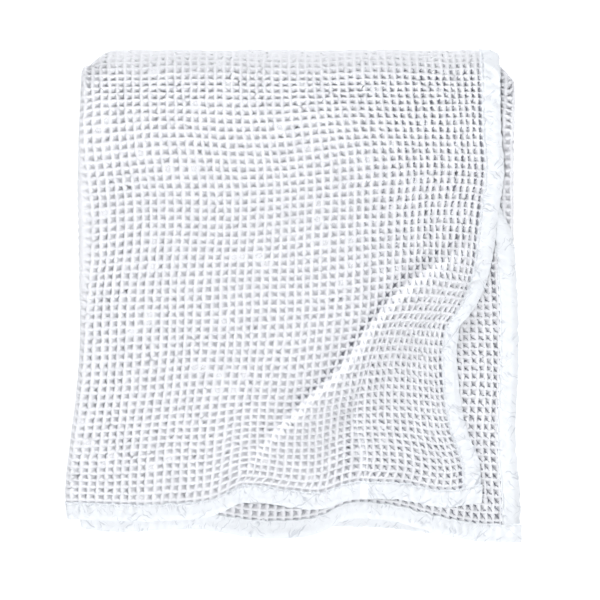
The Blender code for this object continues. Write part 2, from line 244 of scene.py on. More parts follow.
# %% The middle of the cloth
def middle_of_cloth(s, t):
    """Along t each ply runs flat, turns over in half an ellipse and runs back below, drawn to its hem;
    across s the section's x is shifted by the drift of the folds and edges."""
    x0, share = across(s)
    height = by_ply(PLY_HEIGHT, share)
    front, reach, rise, turn_length = turn_over(share)
    before, after = t - front, t - front - turn_length
    angle = math.pi * np.clip(before / turn_length, 0, 1)

    rear_scale = (FOLD_Y - by_ply(REAR_HEM_Y, share)) / (FLAT_LENGTH - front - turn_length)
    y = FOLD_Y + np.minimum(before, 0) + reach * np.sin(angle) - rear_scale * np.maximum(after, 0)
    on_front = before < 0
    y_read = np.where(on_front, y, FOLD_Y)

    in_a, in_b = share["A"], share["B"]
    left = np.clip((x0 - LEFT_OUTER_X) / LEFT_SPREAD, 0, 1)
    drift = (read(LEFT_DRIFT, y_read) * (in_a + share["D"])
             + read(INNER_DRIFT, y_read) * (in_b + share["C"]))
    high_a, shift_a, _ = drape_a(x0, y_read)
    toward_b = np.clip((x0 - LEFT_INNER_X) / (FREE_EDGE_B - LEFT_INNER_X), 0, 1)
    shift_b = (read(EDGE_B, y_read) - FREE_EDGE_B) * toward_b**2
    x = x0 + drift * (1 - left) + in_a * shift_a + in_b * shift_b

    hem_shift = sum(share[ply] * (read(HEM[ply], x) - FOLD_Y + FRONT_LENGTH[ply]) for ply in "ABCD")
    y = y + hem_shift * (1 - ease(t / HEM_RUN))
    corner = drawn_back(x0, LEFT_CORNER) + drawn_back(x, RIGHT_CORNER)
    y = y - corner * ease(1 + before / CORNER_RUN) * (1 - ease(after / CORNER_RUN))

    climb = FOLD_RISE * ease(1 + before / FOLD_RUN_UP)
    sag = SAG * on_front * ease((SAG_STARTS - y) / SAG_RUN)
    droop = DROOP * in_b * ease((x - DROOP_STARTS) / DROOP_RUN) * on_front
    drape = in_a * high_a * (1 - ease(before / turn_length * 4))
    z_front = FRONT_RUN_Z + height + climb + drape - droop
    z_turn = FOLD_Z + rise * np.cos(angle) + drape
    z = np.where(on_front, z_front, z_turn)
    return np.stack([x - BOX_MIDDLE_X, y - BOX_MIDDLE_Y, z - sag], axis=-1)


NORMAL_STEP = 3e-4


def middle_and_normal(s, t):
    """The middle and its unit normal, the cross product of the directions along t and along s."""
    s, t = np.broadcast_arrays(np.asarray(s, float), np.asarray(t, float))
    t_low, t_high = np.maximum(t - NORMAL_STEP, 0), np.minimum(t + NORMAL_STEP, FLAT_LENGTH)
    s_low, s_high = np.maximum(s - NORMAL_STEP, 0), np.minimum(s + NORMAL_STEP, FLAT_WIDTH)
    normal = np.cross(middle_of_cloth(s, t_high) - middle_of_cloth(s, t_low),
                      middle_of_cloth(s_high, t) - middle_of_cloth(s_low, t))
    return middle_of_cloth(s, t), normal / np.linalg.norm(normal, axis=-1, keepdims=True)


# %% [markdown]
# ## The waffle relief
# In a waffle weave the longest floats stand up as ridges round each square cell, and the tight plain
# weave at its middle sinks into a pit. The relief could be a bump map, but pits this deep shade and
# hide each other, and the outline of every fold shows them. So they are real geometry, with four
# grid lines to a cell: two on the ridge's shoulders and two on the pit's rim.

# %% Cells of the weave
CELL_S = 0.01085
CELL_T = 0.01050
FOLD_ROWS = 3.6
FOLD_SQUEEZE = {"starts": 0.50, "run": 0.16}
HEM_ROWS = 0.9
HEM_SQUEEZE_RUN = 0.17
EDGE_COLUMNS = {"A": 2.3, "B": 1.8}
EDGE_SQUEEZE_REACH = 0.06
CELLS = (int(FLAT_WIDTH / CELL_S + sum(EDGE_COLUMNS.values())) + 2,
         int(FLAT_LENGTH / CELL_T + FOLD_ROWS + HEM_ROWS) + 2)


def row_of(t):
    """Rows of cells up to t: one for every cell's length, and a few more where the cloth, like an
    accordion, is squeezed together: along the hem, and before it turns over the top fold."""
    over = ease((t - FOLD_SQUEEZE["starts"]) / FOLD_SQUEEZE["run"]) ** 2
    return t / CELL_T + FOLD_ROWS * over + HEM_ROWS * ease(t / HEM_SQUEEZE_RUN)


def column_of(s):
    """Columns of cells up to s: one for every cell's width, and a few more squeezed in at the edges."""
    from_a = 1 - np.exp(-np.maximum(s, 0) / EDGE_SQUEEZE_REACH)
    from_b = np.exp(-np.maximum(FLAT_WIDTH - s, 0) / EDGE_SQUEEZE_REACH)
    return s / CELL_S + EDGE_COLUMNS["A"] * from_a + EDGE_COLUMNS["B"] * from_b


# %% What differs from cell to cell
POPPED_SHARE = 0.025

rng = np.random.default_rng(11)
pit_depth = rng.uniform(0.75, 1.15, CELLS)
ridge_height = rng.uniform(0.78, 1.1, CELLS + (2,))
popped = rng.random(CELLS) < POPPED_SHARE
jitter = rng.normal(0, 1.0, (2, 2 * CELLS[0] + 3, 2 * CELLS[1] + 3))
ragged = rng.normal(0, 1.0, (2, 4 * CELLS[0] + 8, 4 * CELLS[1] + 8))
wave_angle = rng.uniform(0, math.pi, 14)
wave_length = rng.uniform(0.035, 0.11, 14)
wave_start = rng.uniform(0, 2 * math.pi, 14)
print("cells", CELLS, "popped", int(popped.sum()))


def crinkle(s, t):
    """The washed cloth's own soft unevenness: a mean of sine waves of seeded directions and lengths."""
    total = np.zeros_like(s)
    for angle, length, start in zip(wave_angle, wave_length, wave_start):
        total += np.sin(2 * math.pi * (s * np.cos(angle) + t * np.sin(angle)) / length + start)
    return total / len(wave_angle) ** 0.5


# %% Where the weave strays from a perfect grid
JITTER = 0.0005
# Columns: waves along s, waves along t, both in radians to the metre, and where they start.
WANDER_WAVES = ((9.0, 31.0, 0.4), (27.0, 12.0, 2.1))
SLOW_WANDER = 0.0013
WANDER_FADE = 0.02
UNSHEARED = 0.85
ROWS_STRAIGHT_TO = 0.08
# Columns: y, how far the columns of cells stray along x. Then: x, how far the rows stray along y.
COLUMNS_BOW = ((-0.270, -0.0150), (-0.105, 0.0), (-0.012, 0.0073), (0.128, 0.0127), (0.221, 0.0060),
               (0.315, 0.0))
ROWS_BOW = ((-0.279, -0.0107), (-0.226, -0.0067), (-0.173, -0.0037), (-0.066, -0.0024), (-0.013, -0.0004),
            (0.041, 0.0049), (0.094, 0.0102), (0.147, 0.0133), (0.254, 0.0100))
# How the bows grow from the edge and fade before the top fold.
COLUMNS_BOW_SIZES = {"from": BINDING_WIDTH, "grows_over": 0.14, "to": 0.60, "fades_over": 0.06}
ROWS_BOW_SIZES = {"from": 0.0, "grows_over": 0.16, "to": 0.45, "fades_over": 0.14}


def past_binding(s, t):
    """How far a point lies inside the inner edge of the nearest binding."""
    return np.minimum.reduce([s, t, FLAT_WIDTH - s, FLAT_LENGTH - t]) - BINDING_WIDTH


def y_on_a(t):
    """y on the front run of ply A, before its hem is drawn in."""
    return FOLD_Y - FRONT_LENGTH["A"] + t


def bow_share(from_edge, t, size):
    """0 at the edge, 1 past it and 0 again before the top fold."""
    grown = ease((from_edge - size["from"]) / size["grows_over"])
    return grown * (1 - ease((t - size["to"]) / size["fades_over"]))


def wander(s, t, share):
    """How far a point of the weave strays from its place in a perfect grid, along s and along t.

    It is a slow part, a sum of long sine waves, and a quick part that is drawn for every half cell and
    runs in straight lines between them. Both fade out at the edges of the cloth. On ply A the columns
    and rows also bow as two tables say, less the drift that the cloth has already.
    """
    inside = ease(past_binding(s, t) / WANDER_FADE)
    u, v = np.clip(2 * column_of(s), 0, None), np.clip(2 * row_of(t), 0, None)
    i, j = np.floor(u).astype(int), np.floor(v).astype(int)
    f, g = u - i, v - j
    moved = []
    for axis, (kx, ky, turn) in enumerate(WANDER_WAVES):
        quick = ((1 - f) * (1 - g) * jitter[axis, i, j] + f * (1 - g) * jitter[axis, i + 1, j]
                 + (1 - f) * g * jitter[axis, i, j + 1] + f * g * jitter[axis, i + 1, j + 1])
        slow = np.sin(kx * s + ky * t + turn) + 0.6 * np.sin(2.3 * ky * s - 1.7 * kx * t + 3 * turn)
        moved.append((JITTER * quick + SLOW_WANDER * slow) * inside)

    x0, _ = across(s)
    y = y_on_a(t)
    drift = read(LEFT_DRIFT, y) * (1 - np.clip((x0 - LEFT_OUTER_X) / LEFT_SPREAD, 0, 1))
    columns_bow = bow_share(s, t, COLUMNS_BOW_SIZES) * share["A"]
    rows_bow = bow_share(t, t, ROWS_BOW_SIZES) * share["A"]
    _, _, drawn_in = drape_a(x0, y)
    unsheared = UNSHEARED * drawn_in * share["A"] * (t < FRONT_LENGTH["A"]) * inside
    # At the top corners the rows run straight on, although the fold is drawn back there.
    before = t - by_ply(FRONT_LENGTH, share)
    x = middle_of_cloth(s, t)[..., 0] + BOX_MIDDLE_X
    corner = (drawn_back(x0, LEFT_CORNER) + drawn_back(x, RIGHT_CORNER)) * inside
    corner = corner * ease(1 + before / CORNER_RUN) * (1 - ease(before / ROWS_STRAIGHT_TO))
    return (moved[0] - columns_bow * (read(COLUMNS_BOW, y) - drift) - unsheared,
            moved[1] + rows_bow * read(ROWS_BOW, x0) + corner)


# %% Ridges, and how their lines bulge and lean
RIDGE_SHOULDER = 0.07
PIT_RIM = 0.44
CELLS_FADE = 0.01
BULGE = 0.085
RAGGED = 0.00035
LEAN = 0.0016
LEAN_REACH = 0.06
LEAN_ENDS_PAST = 0.03
LEAN_ENDS_OVER = 0.04
SMOOTHED_FROM = (0.06, -0.08)


def ridge_share(phase):
    """1 on a ridge, 0 in a pit: an S from the shoulder to the rim, by distance from the nearest ridge."""
    away = np.abs(phase - np.round(phase))
    return 1 - ease((away - RIDGE_SHOULDER) / (PIT_RIM - RIDGE_SHOULDER))


def star(s, t):
    """How far the lines of a cell move to make its pit a ragged star: the shoulders bulge into the pit at
    the middle of each side and stay at its corners, and every crossing of lines strays by chance."""
    u, v = column_of(s), row_of(t)
    inside = ease(past_binding(s, t) / CELLS_FADE)
    a, b = ridge_share(u), ridge_share(v)
    i, j = np.floor(4 * u).astype(int), np.floor(4 * v).astype(int)
    return (inside * (BULGE * CELL_S * np.sign(u - np.round(u)) * a * (1 - b) + RAGGED * ragged[0, i, j]),
            inside * (BULGE * CELL_T * np.sign(v - np.round(v)) * b * (1 - a) + RAGGED * ragged[1, i, j]))


def lean(s, t, share):
    """How far the ridges lean over, along s and along t. The blanket was smoothed outwards by hand from
    SMOOTHED_FROM, which bent every ridge away from that point, so that it hangs over the next pit.

    The lean grows with the distance r from there as r / sqrt(r^2 + LEAN_REACH^2).
    """
    place = middle_of_cloth(s, t)
    dx, dy = place[..., 0] - SMOOTHED_FROM[0], place[..., 1] - SMOOTHED_FROM[1]
    size = LEAN / np.sqrt(dx**2 + dy**2 + LEAN_REACH**2)
    inside = ease(past_binding(s, t) / CELLS_FADE)
    front = 1 - ease((t - FRONT_LENGTH["A"] - LEAN_ENDS_PAST) / LEAN_ENDS_OVER)
    return (share["B"] - share["A"]) * size * dx * inside * front, size * dy * inside * front


# %% Where cells take painted shade or painted light beside creases and seams, or are stretched flat
# Each crease's valley, its strength, and the y between which its cells are sunk with painted shade and the
# band beside them takes painted light.
CREASES = ((MAIN_VALLEY, 1.0, -0.17, 0.095), (SECOND_VALLEY, 0.45, -0.30, 0.02))
CREASE_ENDS = 0.04
CHAIN_BEFORE = 0.003
CHAIN_HALF = 0.0075
PALE_AFTER = 0.018
PALE_HALF = 0.009
TOP_FLAT = {"starts": -0.010, "starts_over": 0.045, "ends": 0.12, "ends_over": 0.03}
LEFT_FLAT_BEFORE = 0.012
LEFT_FLAT_HALF = 0.012
# The painted shade of the last cells before the seam:
BESIDE_SEAM = 0.0040
BESIDE_HALF = 0.0035
BESIDE_SHARE = 0.8
# Two waves along the seam: radians to the metre, and where each starts.
BESIDE_WAVES = ((23, 1), (61, 0))
BESIDE_GAIN = 1.5
BESIDE_LEVEL = 0.6


def crease_bands(s, t):
    """Shares of the two bands beside the creases of ply A. The cells in a valley sink deeper and take a
    painted shade, and the next two or three, which climb the ridge towards the light, are pulled open,
    flatter and take a painted light."""
    x0, share = across(s)
    y = y_on_a(t)
    chain, pale = np.zeros_like(s), np.zeros_like(s)
    for valley, weight, low, high in CREASES:
        past = x0 - read(valley, y)
        strong = weight * ease((y - low) / CREASE_ENDS) * ease((high - y) / CREASE_ENDS) * share["A"]
        chain = np.maximum(chain, strong * np.exp(-((past + CHAIN_BEFORE) / CHAIN_HALF) ** 2))
        pale = np.maximum(pale, strong * np.exp(-((past - PALE_AFTER) / PALE_HALF) ** 2))
    return chain, pale


def stretched_flat(s, t):
    """1 where a cell is stretched over the top fold or the left fold, and 0 far from both."""
    past_top = t - FRONT_LENGTH["A"]
    over_top = (ease((past_top - TOP_FLAT["starts"]) / TOP_FLAT["starts_over"])
                * ease((TOP_FLAT["ends"] - past_top) / TOP_FLAT["ends_over"]))
    over_left = np.exp(-((s - STARTS["D"] + LEFT_FLAT_BEFORE) / LEFT_FLAT_HALF) ** 2)
    return np.maximum(over_top, over_left)


def shade_beside_seam(s, t):
    """The last cells before the stitched binding take a painted shade too, where two sine waves agree."""
    from_seam = np.minimum(s, FLAT_WIDTH - s) - BINDING_WIDTH - BESIDE_SEAM
    slow, quick = (np.sin(wave * t + start) for wave, start in BESIDE_WAVES)
    here = ease(BESIDE_GAIN * slow * quick + BESIDE_LEVEL)
    return BESIDE_SHARE * np.exp(-(from_seam / BESIDE_HALF) ** 2) * here


# %% The relief
RIDGE_HEIGHT = 0.0015
PIT_DEPTH = 0.0032
POPPED_RISE = 1.1
# Over the folds the relief is flattened, and PALER lifts most of the pits' darkening there, a painted light
# for folds that slope away from the lamps.
FLATTENED = 0.70
PALER = 0.95
# Towards the free edges the pits are deeper, and darker by a painted shade.
EDGE_DEEPER = 0.105
EDGE_DARKER = 0.14
EDGE_REACH = 0.16
# How much darker a pit is on ply B, a painted shade for the ply that lies in ply A's shade, and how much of
# its painted shade follows its own depth.
B_DARKER = 0.95
TONE_BY_DEPTH = 0.5
# The two bands beside a crease: the chain of sunk cells in the valley, with painted shade, and the band that
# climbs towards the lamp, flatter and with painted light.
CHAIN_DARKER = 1.0
CHAIN_DEEPER = 0.25
BAND_PALER = 0.2
BAND_FLATTER = 0.12
SLITS_UPRIGHT_FROM = 0.12
SLITS_TURN = 0.16


def relief(s, t):
    """Height over the middle in metres, and what the finish reads in each cell: how much of a pit it
    is, whether it has popped up, how much painted shade its pit takes and how much of a painted slit of
    shadow, which both grow towards the free edges, how much painted shade it takes in a crease valley
    or beside a seam, and how far its slit slants.

    The ridges round a cell are joined as 1 - (1 - a)(1 - b), where a and b are the shares of the ridge
    along each side, and the height runs from the pit's depth to the ridge's height.
    """
    u, v = column_of(s), row_of(t)
    cell = (np.floor(u).astype(int), np.floor(v).astype(int))
    near = (np.round(u).astype(int), np.round(v).astype(int))
    a, b = ridge_share(u), ridge_share(v)
    high = 1 - (1 - a) * (1 - b)
    pit = 1 - high
    tall = np.where(a > b, ridge_height[near[0], cell[1], 0], ridge_height[cell[0], near[1], 1])
    _, share = across(s)
    by_edge = np.exp(-(np.minimum(s, FLAT_WIDTH - s) / EDGE_REACH) ** 2)
    flat = stretched_flat(s, t)
    chain, pale = crease_bands(s, t)

    sunk = pit_depth[cell] + EDGE_DEEPER * by_edge - POPPED_RISE * popped[cell]
    height = RIDGE_HEIGHT * tall * high - PIT_DEPTH * sunk * pit
    height = height * (1 - FLATTENED * flat) * (1 + CHAIN_DEEPER * chain - BAND_FLATTER * pale)

    # Painted shade for the pits: more on ply B, which lies in ply A's shade, in deeper pits, towards the
    # free edges and in crease valleys; painted light lifts it over the folds and in the band beside a
    # crease.
    on_b = 1 + B_DARKER * share["B"]
    own = 1 - TONE_BY_DEPTH + TONE_BY_DEPTH * pit_depth[cell]
    dark = (1 + EDGE_DARKER * by_edge) * own * (1 - PALER * flat)
    dark = dark * (1 + CHAIN_DARKER * chain) * (1 - BAND_PALER * pale) * on_b
    slit_shadows = np.maximum(by_edge * on_b, chain) * (1 - flat)
    crease_and_seam_shade = np.maximum(chain**2, shade_beside_seam(s, t) * (1 - flat))
    # Near the free edges each pit takes a painted slit of shadow, cast by a ridge, upright at the top and
    # slanted lower down.
    y = y_on_a(t)
    slant = ease((SLITS_UPRIGHT_FROM - y) / SLITS_TURN)
    return height, {"pit": pit, "popped": popped[cell], "dark": dark, "slit_shadows": slit_shadows,
                    "crease_and_seam_shade": crease_and_seam_shade, "slant": slant}


# %% [markdown]
# ## One sheet from a few patches
# The mesh has to be fine where cells show and may be coarse deep between the plies. A single even
# grid would need four times the triangles, so the sheet is cut into patches in (s, t): fine ones for
# the top ply, the right fold and what shows of ply B, and coarse ones for the rest. The relief fades
# out where a fine patch meets a coarse one, and is turned round on ply B, which shows its other face.

# %% Lines of the sheet
CELL_LINES = (-RIDGE_SHOULDER, RIDGE_SHOULDER, PIT_RIM, 1 - PIT_RIM)
LINE_GAP = 0.0008
FOLD_LINE_GAP = 0.0006


def cell_lines(first, last, place):
    """Every cell's lines between two flat distances, and the two ends. place turns a count of cells
    into a flat distance."""
    counts = (np.arange(-1, max(CELLS) + 1)[:, None] + np.array(CELL_LINES)[None, :]).ravel()
    lines = place(counts)
    lines = lines[(lines > first + LINE_GAP) & (lines < last - LINE_GAP)]
    return np.concatenate([[first], np.sort(lines), [last]])


def column_place(count):
    """The inverse of column_of, read from a fine table of it."""
    s = np.linspace(-0.05, FLAT_WIDTH + 0.05, 9000)
    return np.interp(count, column_of(s), s)


def row_place(count):
    """The inverse of row_of, read from a fine table of it."""
    t = np.linspace(-0.05, FLAT_LENGTH + 0.05, 5000)
    return np.interp(count, row_of(t), t)


def with_fold_lines(lines, names, count):
    """Adds even lines round the named folds, in place of the cell lines there."""
    for name in names:
        low, high = STARTS[name], STARTS[name] + stretch_length(name)
        lines = lines[(lines < low - FOLD_LINE_GAP) | (lines > high + FOLD_LINE_GAP)]
        lines = np.concatenate([lines, np.linspace(low, high, count + 1)])
    return np.sort(lines)


# %% One patch of the sheet
FADE = 0.012
COVERED = 0.024
PRESSED = {"to": 0.25, "ends": -0.001, "over": 0.006}
CRINKLE = 0.0005


def patch(s_lines, t_lines, fine, open_sides):
    """Points, cell coordinates and the finish's values of one patch. open_sides names the sides, of
    "left", "right" and "high" in (s, t), where it meets a coarse patch and the relief fades out."""
    s, t = np.meshgrid(s_lines, t_lines, indexing="ij")
    _, share = across(s)
    height, value = relief(s, t)
    stray_s, stray_t = 0, 0
    if fine:
        # A ridge leans one way and the pit under it the other.
        lean_by = 0.5 - value["pit"]
        strays = wander(s, t, share), lean(s, t, share), star(s, t)
        stray_s, stray_t = (wandered + leaned * lean_by + starred
                            for wandered, leaned, starred in zip(*strays))
    middle, normal = middle_and_normal(s + stray_s, t + stray_t)
    keep = np.full_like(s, float(fine))
    inward = {"left": s - s_lines[0], "right": s_lines[-1] - s, "high": t_lines[-1] - t}
    for open_side in open_sides:
        keep *= ease(inward[open_side] / FADE)
    # Under the stitched binding the cells are pressed flat.
    free = ease((past_binding(s, t) - PRESSED["ends"]) / PRESSED["over"])
    pressed = PRESSED["to"] + (1 - PRESSED["to"]) * free
    # Ply B's relief starts only where ply A stops, so that it doesn't push up through A's pits.
    x, y = middle[..., 0], middle[..., 1]
    past_a = np.maximum(ease((x - read(EDGE_A, y) + COVERED) / FADE),
                        ease((read(HEM["A"], x) + COVERED - y) / FADE))
    keep *= 1 - share["B"] * (1 - past_a)
    side = 1 - 2 * share["B"]
    lift = side * height * keep * pressed + CRINKLE * crinkle(s, t) * share["A"] * keep
    points = middle + normal * lift[..., None]
    value["pit"], value["popped"] = value["pit"] * keep, value["popped"] * keep
    return points, side * column_of(s), row_of(t), value


# %% From points to a mesh
ON_TABLE = 0.0002


def triangles(pit, first):
    """Corner numbers of two triangles for every square of a grid whose points start at first. A
    square is cut along its deeper diagonal, so that a pit is a pyramid upside down, with valleys that
    run to its corners."""
    index = np.arange(pit.size).reshape(pit.shape) + first
    a, b, c, d = index[:-1, :-1], index[:-1, 1:], index[1:, 1:], index[1:, :-1]
    a_to_c = (pit[:-1, :-1] + pit[1:, 1:] >= pit[:-1, 1:] + pit[1:, :-1])[..., None]
    one = np.where(a_to_c, np.stack([a, b, c], -1), np.stack([a, b, d], -1))
    other = np.where(a_to_c, np.stack([a, c, d], -1), np.stack([b, c, d], -1))
    return np.concatenate([one.reshape(-1, 3), other.reshape(-1, 3)])


def mesh_piece(name, points, faces, uv, values=None):
    """A smooth mesh object from arrays of points and of triangles or quads, with a UV map and named
    point values. What would sink into the table is pressed flat on it."""
    points = np.concatenate([points[:, :2], np.maximum(points[:, 2:], ON_TABLE)], axis=1)
    mesh = bpy.data.meshes.new(name)
    mesh.vertices.add(len(points))
    mesh.vertices.foreach_set("co", points.astype(np.float32).ravel())
    mesh.loops.add(faces.size)
    mesh.loops.foreach_set("vertex_index", faces.astype(np.int32).ravel())
    mesh.polygons.add(len(faces))
    mesh.polygons.foreach_set("loop_start", np.arange(0, faces.size, faces.shape[1], dtype=np.int32))
    mesh.polygons.foreach_set("loop_total", np.full(len(faces), faces.shape[1], np.int32))
    layer = mesh.uv_layers.new(name="UVMap")
    layer.data.foreach_set("uv", uv[faces.ravel()].astype(np.float32).ravel())
    for key, value in (values or {}).items():
        mesh.attributes.new(key, "FLOAT", "POINT").data.foreach_set("value", value.astype(np.float32))
    mesh.update(calc_edges=True)
    mesh.validate()
    mesh.shade_smooth()
    piece = bpy.data.objects.new(name, mesh)
    bpy.context.scene.collection.objects.link(piece)
    print(f"{name}: {len(points)} points, {len(faces)} faces")
    return piece


# %% Which lines each patch has
TUCKED_IN = 0.010
A_END = STARTS["left_outer"] + stretch_length("left_outer")
D_FINE = 0.014
RIGHT_FINE = 0.045
B_COVERED = 0.15
B_STRIP = 0.105
B_HEM = 0.095
B_OVERLAP = 0.02
TURN_END = FRONT_LENGTH["A"] + 0.112
NEAR_TURN = 0.56

fine_t = cell_lines(TUCKED_IN, TURN_END, row_place)
rear_t = np.linspace(TURN_END, FLAT_LENGTH - TUCKED_IN, 26)
coarse_t = np.concatenate([np.linspace(TUCKED_IN, NEAR_TURN, 28), np.linspace(NEAR_TURN, TURN_END, 18)[1:]])
right_from, right_to = STARTS["right"] - RIGHT_FINE, STARTS["C"] + RIGHT_FINE
strip_from = FLAT_WIDTH - B_STRIP

top_s = with_fold_lines(cell_lines(TUCKED_IN, A_END + D_FINE, column_place), ["left_outer"], 12)
right_s = with_fold_lines(cell_lines(right_from, right_to, column_place), ["right"], 8)
strip_s = cell_lines(strip_from, FLAT_WIDTH - TUCKED_IN, column_place)
hem_s = cell_lines(STARTS["B"] + B_COVERED, strip_from, column_place)
d_s = np.linspace(A_END + D_FINE, right_from, 18)
c_s = np.concatenate([np.linspace(right_to, STARTS["left_inner"], 18),
                      STARTS["left_inner"] + np.linspace(0, stretch_length("left_inner"), 9)[1:]])
b_s = np.linspace(STARTS["B"], STARTS["B"] + B_COVERED, 6)
mid_s = np.linspace(STARTS["B"] + B_COVERED, strip_from, 12)
rear_s = np.unique(np.concatenate([top_s[::4], top_s[-1:], d_s, right_s[::2], right_s[-1:], c_s, b_s,
                                   mid_s, strip_s[::4], strip_s[-1:]]))

# Columns: lines across, lines along, fine, sides that meet a coarse patch.
PATCHES = (
    (top_s, fine_t, True, ("right", "high")),
    (right_s, fine_t, True, ("left", "right", "high")),
    (strip_s, fine_t, True, ("left", "high")),
    (hem_s, cell_lines(TUCKED_IN, B_HEM, row_place), True, ("left", "high")),
    (d_s, coarse_t, False, ()),
    (c_s, coarse_t, False, ()),
    (b_s, coarse_t, False, ()),
    (mid_s, coarse_t[coarse_t > B_HEM - B_OVERLAP], False, ()),
    (rear_s, rear_t, False, ()),
)

# %% The sheet itself
CELL_VALUES = ("pit", "popped", "dark", "slit_shadows", "crease_and_seam_shade", "slant")


def waffle_sheet():
    """All patches in one mesh. Their borders meet but are not joined, and the fine borders have more
    lines than the coarse ones beside them."""
    points, faces, uv, values, count = [], [], [], {key: [] for key in CELL_VALUES}, 0
    for s_lines, t_lines, fine, open_sides in PATCHES:
        place, u, v, value = patch(s_lines, t_lines, fine, open_sides)
        faces.append(triangles(value["pit"], count))
        points.append(place.reshape(-1, 3))
        uv.append(np.stack([u, v], -1).reshape(-1, 2))
        for key in values:
            values[key].append(value[key].ravel())
        count += u.size
    return mesh_piece("waffle_sheet", np.concatenate(points), np.concatenate(faces), np.concatenate(uv),
                      {key: np.concatenate(parts) for key, parts in values.items()})


waffle = waffle_sheet()

# %% [markdown]
# ## The binding
# The binding is a strip of plain cotton folded over the raw edge and stitched through. Washing
# shrinks it less than the waffle cloth, so it crinkles all along. Its section is a closed loop: from
# the inner edge over the top to the outer fold and back below. It is pinched at the stitch line, and
# soft creases run in from there at seeded angles.

# %% Creases and humps of the binding
CREASES_PER_METRE = 80
CREASE_DEPTH = 0.0008


def creases(along, inward, length, seed):
    """Depth of the creases: a sum of narrow Gaussian troughs, each a short slanted line that fades
    away from its own middle. along and inward are distances on the strip, inward from its outer edge."""
    random = np.random.default_rng(seed)
    count = int(length * CREASES_PER_METRE)
    depth = np.zeros_like(along)
    for middle, start, slant, reach, width, deep in zip(
            random.uniform(0, length, count), random.uniform(0.2, 1.0, count) * BINDING_WIDTH,
            random.normal(0, 0.7, count), random.uniform(0.004, 0.012, count),
            random.uniform(0.0011, 0.0022, count), random.uniform(0.25, 1.0, count)):
        off = (along - middle - slant * (inward - start)) / (width * math.sqrt(1 + slant * slant))
        depth += deep * np.exp(-off**2 - ((inward - start) / reach) ** 2)
    return CREASE_DEPTH * depth


def swell(along, inward, seed):
    """Slow humps of the strip between creases: a mean of seeded sine waves, mostly along it."""
    random = np.random.default_rng(seed + 100)
    total = np.zeros_like(along)
    for length, tilt, start in zip(random.uniform(0.008, 0.03, 12), random.normal(0, 0.6, 12),
                                   random.uniform(0, 2 * math.pi, 12)):
        total += np.sin(2 * math.pi * (along + tilt * inward) / length + start)
    return total / 12**0.5


# %% The surface of a strip
# Its outer edge is scalloped by a mean and a stray share of the scallop.
SCALLOP = 0.0014
SCALLOP_SHARES = (0.5, 0.35)
INNER_PAST = 0.0005
INNER_WAVE = 0.0007
# Half its thickness, in the middle and near the inner edge.
BINDING_HALF = 0.00125
INNER_HALF = 0.0019
INNER_THICK_TO = 0.012
OUTER_ROUND = 0.0022
LIP_ENDS = -0.0014
LIP_RUN = 0.0016
LEAST_HALF = 0.0001
STITCH_AT = 0.0026
PINCH = 0.0010
PINCH_WIDTH = 0.0010
PUCKER_STRAY = 0.6
PUCKER_FINER = 1.7
WRINKLE = 0.0003
CREASES_BELOW = 0.6
STILL_AT_EDGES = 0.003
STRIP_WAVE = 0.00035
# The outer edge droops on the front run of plies A and B.
EDGE_DROP = 0.0034
EDGE_DROP_REACH = 0.010
EDGE_DROP_RUN = 0.04
UNDERSIDE_UV = 0.03


def section(count):
    """The loop of the section: inward distance as a share, and side, +1 over the top and -1 below."""
    share = 1 - (1 - np.cos(np.linspace(0, math.pi, count))) / 2
    return np.concatenate([share, share[-2:0:-1]]), np.concatenate([np.ones(count), -np.ones(count - 2)])


def strip_surface(place_on_cloth, along, share, side, length, seed):
    """Points of a strip's surface, the way out of the cloth there, and the distance from the inner edge.
    share runs from 0 at the outer fold to 1 at the inner edge, and side is +1 over the top, -1 below.
    place_on_cloth turns distances along and inward into s and t.

    The outer fold is round, the strip is pinched in a Gaussian along the seam, and its inner edge is
    thin. Creases and humps are added, and the front edges of plies A and B droop.
    """
    mean, stray = SCALLOP_SHARES
    edge = np.clip(SCALLOP * (mean + stray * swell(along, 0, seed + 7)), 0, 2 * SCALLOP)
    inner = BINDING_WIDTH + INNER_PAST + INNER_WAVE * swell(along, 0, seed + 11)
    inward = edge + share * (inner - edge)
    from_outer, from_inner = inward - edge, inner - inward
    s, t = place_on_cloth(along, inward)
    middle, normal = middle_and_normal(s, t)

    round_off = np.sqrt(np.clip(1 - (1 - np.clip(from_outer / OUTER_ROUND, 0, 1)) ** 2, 0, 1))
    half = INNER_HALF + (BINDING_HALF - INNER_HALF) * ease(from_inner / INNER_THICK_TO)
    puckers = 1 + PUCKER_STRAY * swell(PUCKER_FINER * along, 0, seed + 5)
    half = half * round_off - PINCH * puckers * np.exp(-((from_inner - STITCH_AT) / PINCH_WIDTH) ** 2)
    half = half * ease((from_inner - LIP_ENDS) / LIP_RUN) + LEAST_HALF

    wrinkle = (WRINKLE * swell(along, inward, seed)
               - creases(along, inward, length, seed) * np.where(side > 0, 1, CREASES_BELOW))
    free = ease(from_outer / STILL_AT_EDGES) * ease(from_inner / STILL_AT_EDGES)
    lift = side * (half + wrinkle * free) + STRIP_WAVE * swell(along, inward, seed + 3)
    points = middle + normal * lift[..., None]
    _, ply = across(s)
    front_run = ease((FRONT_LENGTH["A"] - t) / EDGE_DROP_RUN)
    points[..., 2] -= EDGE_DROP * front_run * (ply["A"] + ply["B"]) * (1 - ease(inward / EDGE_DROP_REACH))
    return points, normal * np.asarray(side)[..., None], from_inner


